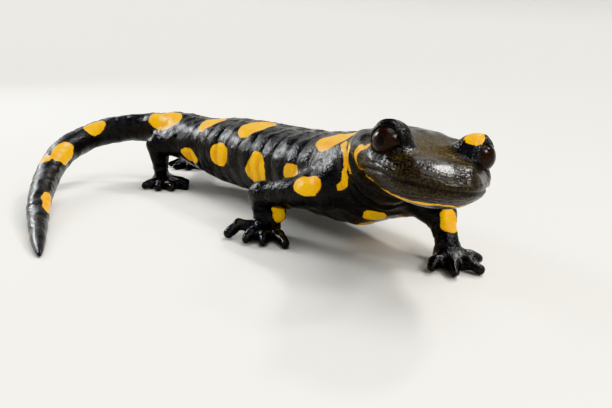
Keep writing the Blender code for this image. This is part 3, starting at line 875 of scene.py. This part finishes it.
def markingGap():
    # signed distance in millimetres from the edge of the nearest yellow mark, negative inside
    gap = np.full(len(points), 9.0)
    onTrunk = nearLeg > 0.15 * ease(s, 34, 36)
    for along, angle, halfLength, halfWidth, turn in markings["spots"]:
        near = (np.abs(s - along) < halfLength + halfWidth + 5)
        across = np.radians(np.mod(turnRound[near] - angle + 180, 360) - 180) * girth[near]
        a, b = s[near] - along, across
        c, d = math.cos(math.radians(turn)), math.sin(math.radians(turn))
        a, b = a * c + b * d, b * c - a * d
        share = np.hypot(a / halfLength, b / halfWidth)
        inner = (share - 1) * np.minimum(halfLength, halfWidth)
        outer = np.hypot(a, b) * (1 - 1 / np.maximum(share, 0.05))
        found = np.where(share < 1, inner, outer) + 9 * (~onTrunk[near])
        gap[near] = np.minimum(gap[near], found)
    for start, end, radius in markings["dabs"]:
        away, _ = boneDistance(points, start, end, radius, radius)
        gap = np.minimum(gap, away)
    gap += 0.18 * swell(points, 3.4) + 0.06 * swell(points, 1.3)
    for halfWidth, path in markings["stripes"]:
        # nearest of many places along the stripe
        stops = np.linspace(0, len(path) - 1, 24 * (len(path) - 1))
        along, angle = (np.interp(stops, np.arange(len(path)), column) for column in zip(*path))
        places = markPlace(along, angle)
        near = np.flatnonzero((s > along.min() - 4) & (s < along.max() + 4) & onTrunk)
        for some in np.array_split(near, 8):
            away = np.sqrt(((points[some, None] - places[None]) ** 2).sum(axis=2).min(axis=1))
            gap[some] = np.minimum(gap[some], away - halfWidth + 0.07 * swell(points[some], 1.9))
    return gap


yellow = np.minimum(markingGap(), 3.0)
print("markings:", round(float((yellow < 0).mean() * 100), 1), "percent of the skin is yellow")


def setAttribute(mesh, name, values):
    # one number or one vector to each point
    kind = 'FLOAT' if values.ndim == 1 else 'FLOAT_VECTOR'
    attribute = mesh.attributes.new(name, kind, 'POINT')
    attribute.data.foreach_set("value" if values.ndim == 1 else "vector", values.astype(np.float32).ravel())


crownForm = {
    "front": (3.0, 7.5),       # back from the snout, where the olive fades in
    "back": (22.5, 14.0),
    "side": (8.0, 4.4),
    "elsewhere": 0.14,         # share of the same olive on the rest of the head
}


def skinMasks():
    # what the skin's material reads, one value for each point
    form = crownForm
    crown = ease(flank, 66, 38) * ease(headBack, *form["front"])
    crown = crown * ease(headBack + 1.6 * swell(points, 5.0), *form["back"])
    crown = crown * ease(np.abs(headSide) + 1.1 * swell(points, 4.0), *form["side"])
    crown = form["elsewhere"] + (1 - form["elsewhere"]) * crown
    crown = crown * onBodyShare * ease(headBack, 27, 20) * (s < 30)
    glands = np.zeros(len(points))
    for eye in eyes.values():
        crown = crown * ease(np.linalg.norm(points - eye["centre"], axis=1), 3.2, 4.6)
        gap = ovalDistance(points, *glandOval(eye, glandForm["pittedLift"]))
        glands = np.maximum(glands, ease(gap, 0.6, -0.4))
    fromMouth = np.abs(headUp - np.interp(headBack, *zip(*headForm["mouthLine"])))
    lips = ease(fromMouth, 2.6, 1.2) * ease(headBack, 18, 14) * (s < 20)
    bearing = np.arctan2(headSide, 6.0 + headPoints[:, 0])
    lipPlace = np.stack([bearing * 8.0, headUp * 2.4, headBack * 0.2], axis=1)
    return {"yellow": yellow, "crease": np.clip(crease, 0, 1), "crown": crown, "lips": lips,
            "glands": glands, "nostrils": nostrils, "leg": 1 - onBodyShare, "lipPlace": lipPlace}


skin = bpy.data.objects.new("skin", skinMesh)
bpy.context.scene.collection.objects.link(skin)
skinMesh.vertices.foreach_set("co", (points * mm).ravel())
shadeSmooth(skinMesh)
skinMesh.update()
for name, values in skinMasks().items():
    setAttribute(skinMesh, name, values)
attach(skin, "root")
fleshNodes = [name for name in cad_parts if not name.startswith("eye_")]
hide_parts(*fleshNodes)
print("skin replaces", len(fleshNodes), "nodes")


def eyeball(sideName, count=72, rings=48):
    # a sphere of latitude and longitude about the line of sight, slightly fuller in front for the cornea
    eye = eyes[sideName]
    lat = np.linspace(0, math.pi, rings + 2)[1:-1, None]
    lon = np.linspace(0, 2 * math.pi, count, endpoint=False)[None]
    radius = eyeForm["radius"] * (1 + eyeForm["cornea"] * ridge(lat, 0.75)) + 0 * lon
    around = eye["front"] * np.cos(lon)[..., None] + eye["above"] * np.sin(lon)[..., None]
    direction = around * np.sin(lat)[..., None] + eye["gaze"] * np.cos(lat)[..., None]
    shellPoints, faces = closedTube(eye["centre"] + direction * radius[..., None])
    shellPoints[-2] = eye["centre"] + eye["gaze"] * eyeForm["radius"] * (1 + eyeForm["cornea"])
    shellPoints[-1] = eye["centre"] - eye["gaze"] * eyeForm["radius"]
    item = meshObject("eyeball_" + sideName, shellPoints, faces)
    bm = bmesh.new()
    bm.from_mesh(item.data)
    bmesh.ops.recalc_face_normals(bm, faces=bm.faces)
    bm.to_mesh(item.data)
    bm.free()
    shadeSmooth(item.data)
    away = unit(shellPoints - eye["centre"])
    setAttribute(item.data, "fromPupil", np.degrees(np.arccos(np.clip(away @ eye["gaze"], -1, 1))))
    axes = np.stack([eye["front"], eye["above"], eye["gaze"]])
    setAttribute(item.data, "irisPlace", away @ axes.T)
    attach(item, "root")
    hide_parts("eye_" + sideName)
    return item


eyeballs = [eyeball("right"), eyeball("left")]
print("eyes made")


class Wire:
    # a socket of a material that can be used in sums
    def __init__(self, tree, socket=None):
        self.tree = tree
        self.socket = socket

    def node(self, kind, settings=None, inputs=None, output=0):
        made = self.tree.nodes.new(kind)
        for name, value in (settings or {}).items():
            setattr(made, name, value)
        for key, value in (inputs or {}).items():
            if isinstance(value, Wire):
                self.tree.links.new(value.socket, made.inputs[key])
            else:
                made.inputs[key].default_value = value
        return Wire(self.tree, made.outputs[output])

    def maths(self, operation, *values):
        return self.node('ShaderNodeMath', {"operation": operation}, dict(enumerate(values)))

    def __add__(self, other):
        return self.maths('ADD', self, other)

    def __radd__(self, other):
        return self.maths('ADD', other, self)

    def __sub__(self, other):
        return self.maths('SUBTRACT', self, other)

    def __rsub__(self, other):
        return self.maths('SUBTRACT', other, self)

    def __mul__(self, other):
        return self.maths('MULTIPLY', self, other)

    def __rmul__(self, other):
        return self.maths('MULTIPLY', other, self)

    def __pow__(self, other):
        return self.maths('POWER', self, other)

    def least(self, other):
        return self.maths('MINIMUM', self, other)

    def most(self, other):
        return self.maths('MAXIMUM', self, other)

    def span(self, low, high, to0=0.0, to1=1.0):
        # low..high becomes to0..to1 along an S curve
        return self.node('ShaderNodeMapRange', {"interpolation_type": 'SMOOTHSTEP'},
                         {0: self, 1: low, 2: high, 3: to0, 4: to1})

    def blend(self, a, b):
        # colour a where this is 0, colour b where it is 1
        pair = {0: self}
        for key, value in ((6, a), (7, b)):
            pair[key] = value if isinstance(value, Wire) else (*value, 1.0)
        return self.node('ShaderNodeMix', {"data_type": 'RGBA'}, pair, 2)

    def attribute(self, name, vector=False):
        return self.node('ShaderNodeAttribute', {"attribute_name": name}, None, 1 if vector else 2)

    def noise(self, place, scale, detail=3.0, roughness=0.55):
        return self.node('ShaderNodeTexNoise', None,
                         {"Vector": place, "Scale": scale, "Detail": detail, "Roughness": roughness})

    def cells(self, place, scale):
        # distance from the nearest of many scattered centres
        return self.node('ShaderNodeTexVoronoi', None, {"Vector": place, "Scale": scale})


def newMaterial(name):
    # a material with one shader, and a wire to build on
    made = bpy.data.materials.new(name)
    made.use_nodes = True
    tree = made.node_tree
    tree.nodes.clear()
    shader = tree.nodes.new('ShaderNodeBsdfPrincipled')
    target = tree.nodes.new('ShaderNodeOutputMaterial')
    tree.links.new(shader.outputs[0], target.inputs[0])
    return made, tree, shader, Wire(tree)


def feed(tree, shader, name, value):
    # a wire is linked to the socket, and a plain value is written into it
    if isinstance(value, Wire):
        tree.links.new(value.socket, shader.inputs[name])
    else:
        shader.inputs[name].default_value = value


skinLook = {
    "black": (0.0070, 0.0066, 0.0072),
    "slate": (0.017, 0.017, 0.020),
    "olive": (0.210, 0.130, 0.022),
    "yellow": (0.98, 0.56, 0.004),
    "orange": (0.94, 0.41, 0.003),
    "pore": (0.20, 0.065, 0.004),
    "nostril": (0.034, 0.022, 0.014),
    "paintedShade": (0.003, 0.003, 0.0035),            # painted shade in creases and between pebbles
    "grain": 2.6,              # pebbles to the millimetre
    "grainHeight": 0.09,
    "bump": 0.9,
    "wet": 0.145,
    "coat": 0.12,
    "ior": 1.36,
    "crownRoughness": 0.5,
    "crownIor": 1.2,
    "crownDryness": 0.75,
}


def skinMaterial():
    # wet pebbled skin whose markings and masks come from the mesh, with a drier crown mixed in
    look = skinLook
    made, tree, shader, wire = newMaterial("wetSkin")
    place = wire.node('ShaderNodeTexCoord', None, None, 3)
    place = wire.node('ShaderNodeVectorMath', {"operation": 'SCALE'}, {0: place, 3: 1000.0})
    names = ("crown", "lips", "glands", "crease", "leg", "nostrils", "yellow")
    crownMask, lipMask, glandMask, creaseMask, legMask, nostrilMask, yellowGap = map(wire.attribute, names)
    patches = wire.noise(place, 0.35, 4.0)
    fine = wire.noise(place, 3.2, 3.0)
    pebbles = wire.cells(place, look["grain"])
    small = wire.cells(place, look["grain"] * 2.3)
    lipRows = wire.cells(wire.attribute("lipPlace", True), 1.5)
    edge = yellowGap + (fine - 0.5) * 0.5 + (small - 0.4) * 0.16
    isYellow = edge.span(0.05, -0.05)
    # colour
    dark = patches.span(0.35, 0.7).blend(look["black"], look["slate"])
    olive = (crownMask * 0.8 + lipMask * 0.15).least(1.0) * fine.span(0.36, 0.68)
    dark = olive.blend(dark, look["olive"])
    dark = (nostrilMask * 0.8).blend(dark, look["nostril"])
    # painted shade: darker between the pebbles and in the creases, grooves, folds, nostrils and eye sockets
    paintedShade = (pebbles.span(0.25, 0.62) * 0.5 + creaseMask * 0.8).least(1.0)
    bright = patches.span(0.4, 0.75).blend(look["yellow"], look["orange"])
    bright = (yellowGap.span(-0.6, 0.1) * 0.35).blend(bright, look["orange"])
    # the marks turn to the pore colour at their pores, their own colour, and in creases, which is painted
    # shade
    bright = (small.span(0.42, 0.7) * 0.25 + creaseMask * 0.4).least(1.0).blend(bright, look["pore"])
    dark = (paintedShade * 0.75).blend(dark, look["paintedShade"])
    colour = isYellow.blend(dark, bright)
    feed(tree, shader, "Base Color", colour)
    # gloss
    rough = look["wet"] + (fine - 0.5) * 0.16 + creaseMask * 0.30
    rough = rough + lipMask * 0.1 + legMask * 0.04 + isYellow * 0.06
    feed(tree, shader, "Roughness", rough.most(0.1).least(0.8))
    feed(tree, shader, "Coat Weight", look["coat"])
    feed(tree, shader, "Coat Roughness", 0.12)
    feed(tree, shader, "IOR", look["ior"])
    # the crown is dry
    dry = tree.nodes.new('ShaderNodeBsdfPrincipled')
    feed(tree, dry, "Base Color", colour)
    feed(tree, dry, "Roughness", look["crownRoughness"])
    feed(tree, dry, "IOR", look["crownIor"])
    mixed = wire.node('ShaderNodeMixShader', None, {0: crownMask * look["crownDryness"]})
    tree.links.new(shader.outputs[0], mixed.socket.node.inputs[1])
    tree.links.new(dry.outputs[0], mixed.socket.node.inputs[2])
    tree.links.new(mixed.socket, tree.get_output_node('ALL').inputs[0])
    # grain
    domes = 1.0 - pebbles ** 1.6
    grains = 1.0 - small ** 1.5
    body = domes * look["grainHeight"] + grains * 0.02 + (fine - 0.5) * 0.03
    rows = (1.0 - lipRows ** 1.5) * 0.09
    pits = (0.0 - pebbles.span(0.5, 0.15)) * 0.03
    tall = body * (1.0 - lipMask * 0.7) + rows * lipMask + glandMask * pits
    bump = wire.node('ShaderNodeBump', None, {"Strength": look["bump"], "Distance": mm, "Height": tall})
    feed(tree, shader, "Normal", bump)
    feed(tree, dry, "Normal", bump)
    return made


eyeLook = {
    "pupil": (0.001, 0.001, 0.0015),
    "iris": (0.0135, 0.0070, 0.0056),
    "fleck": (0.034, 0.017, 0.009),
    "white": (0.006, 0.005, 0.005),
    "pupilSize": 14.5,         # degrees from the line of sight
    "irisSize": 52.0,
    "roughness": 0.05,
    "coat": 0.25,
    "ior": 1.28,
}


def eyeMaterial():
    # pupil, iris and rim follow the angle from the line of sight
    look = eyeLook
    made, tree, shader, wire = newMaterial("wetEye")
    place = wire.attribute("irisPlace", True)
    away = wire.attribute("fromPupil")
    flecks = wire.noise(place, 9.0, 4.0, 0.65)
    rays = wire.noise(wire.node('ShaderNodeVectorMath', {"operation": 'NORMALIZE'}, {0: place}), 4.0, 5.0)
    iris = (flecks.span(0.5, 0.72) * 0.6 + rays.span(0.5, 0.8) * 0.3).blend(look["iris"], look["fleck"])
    pastPupil = (away + (flecks - 0.5) * 2.0).span(look["pupilSize"] - 0.8, look["pupilSize"] + 0.8)
    pastIris = (away + (flecks - 0.5) * 6.0).span(look["irisSize"] - 4, look["irisSize"] + 6)
    colour = pastIris.blend(pastPupil.blend(look["pupil"], iris), look["white"])
    feed(tree, shader, "Base Color", colour)
    feed(tree, shader, "Roughness", look["roughness"] + (flecks - 0.5) * 0.03)
    feed(tree, shader, "Coat Weight", look["coat"])
    feed(tree, shader, "Coat Roughness", 0.02)
    feed(tree, shader, "IOR", look["ior"])
    bump = wire.node('ShaderNodeBump', None, {"Strength": 0.15, "Distance": 0.0003, "Height": flecks})
    feed(tree, shader, "Normal", bump)
    return made


skinMesh.materials.clear()
skinMesh.materials.append(skinMaterial())
wetEye = eyeMaterial()
for item in eyeballs:
    item.data.materials.append(wetEye)
print("materials made")


room = {
    "flat": 900.0,
    "wall": 3000.0,
    "floorColour": (0.78, 0.77, 0.74),
    "floorGrain": (0.7488, 0.7392, 0.7104),
    "floorRoughness": 0.85,
    "skyColour": (0.80, 0.84, 0.88),
    "skyStrength": 0.22,
    "aim": (-2.0, 0.0, 12.0),  # every lamp points here
    # name: kind, place, size (degrees across for a sun), power, colour
    "lamps": {
        "back": ('SUN', (-47, 198, 231), 8.0, 1.15, (1.0, 0.98, 0.95)),
        "top": ('SUN', (40, 60, 330), 45.0, 1.15, (1.0, 0.99, 0.97)),
        "side": ('SUN', (142, 165, 216), 7.0, 0.42, (1.0, 0.99, 0.97)),
        "fill": ('SUN', (200, -120, 180), 70.0, 0.95, (0.97, 0.98, 1.0)),
        "front": ('AREA', (200, 25, 150), 0.05, 0.14, (1.0, 0.97, 0.92)),
        "rim": ('AREA', (-270, -60, 160), 0.09, 0.45, (0.96, 0.98, 1.0)),
    },
}


def dish(around=96):
    # a round floor whose rim sweeps up: height is a quarter circle of the distance past the flat part
    flat = room["flat"]
    radius = np.concatenate([np.linspace(20, flat, 12), flat + np.linspace(10, room["wall"], 24)])
    past = np.clip((radius - flat) / room["wall"], 0, 1)
    height = room["wall"] * (1 - np.sqrt(np.maximum(1 - past ** 2, 0.0))) * 0.8
    angle = np.linspace(0, 2 * math.pi, around, endpoint=False)
    rings = np.stack([radius[:, None] * np.cos(angle), radius[:, None] * np.sin(angle),
                      height[:, None] + 0 * angle], axis=-1)
    shellPoints, faces = closedTube(rings)
    last = len(shellPoints) - 1                # the outer rim stays open
    return meshObject("floor", shellPoints[:-1], [face for face in faces if last not in face])


floor = dish()
shadeSmooth(floor.data)
floorMaterial, tree, shader, wire = newMaterial("paleFloor")
grainFloor = wire.noise(wire.node('ShaderNodeTexCoord', None, None, 3), 60.0, 4.0)
feed(tree, shader, "Base Color", grainFloor.blend(room["floorColour"], room["floorGrain"]))
feed(tree, shader, "Roughness", room["floorRoughness"])
floor.data.materials.append(floorMaterial)

for name, (kind, place, size, power, colour) in room["lamps"].items():
    lamp = bpy.data.lights.new(name, kind)
    if kind == 'SUN':
        lamp.angle = math.radians(size)
    else:
        lamp.shape = 'DISK'
        lamp.size = size
    lamp.energy = power
    lamp.color = colour
    item = bpy.data.objects.new(name, lamp)
    item.location = Vector(place) * mm
    item.rotation_euler = (Vector(room["aim"]) - Vector(place)).to_track_quat('-Z', 'Y').to_euler()
    bpy.context.scene.collection.objects.link(item)

bpy.context.scene.view_settings.view_transform = 'Khronos PBR Neutral'     # colours stay as they are given
sky = bpy.data.worlds.new("sky")
sky.use_nodes = True
background = sky.node_tree.nodes["Background"]
background.inputs["Color"].default_value = (*room["skyColour"], 1.0)
background.inputs["Strength"].default_value = room["skyStrength"]
bpy.context.scene.world = sky

cameraView = {"place": (99.19, -60.22, 38.0), "heading": 140.0, "down": 16.3, "lens": 35.29, "sensor": 36.0}
lens = bpy.data.cameras.new("camera")
lens.lens = cameraView["lens"]
lens.sensor_width = cameraView["sensor"]
lens.clip_start = 0.002
lens.clip_end = 20.0
camera = bpy.data.objects.new("camera", lens)
heading, down = math.radians(cameraView["heading"]), math.radians(cameraView["down"])
look = Vector((math.cos(heading) * math.cos(down), math.sin(heading) * math.cos(down), -math.sin(down)))
camera.location = Vector(cameraView["place"]) * mm
camera.rotation_euler = look.to_track_quat('-Z', 'Y').to_euler()
bpy.context.scene.collection.objects.link(camera)
bpy.context.scene.camera = camera
print("floor, lamps and camera made")
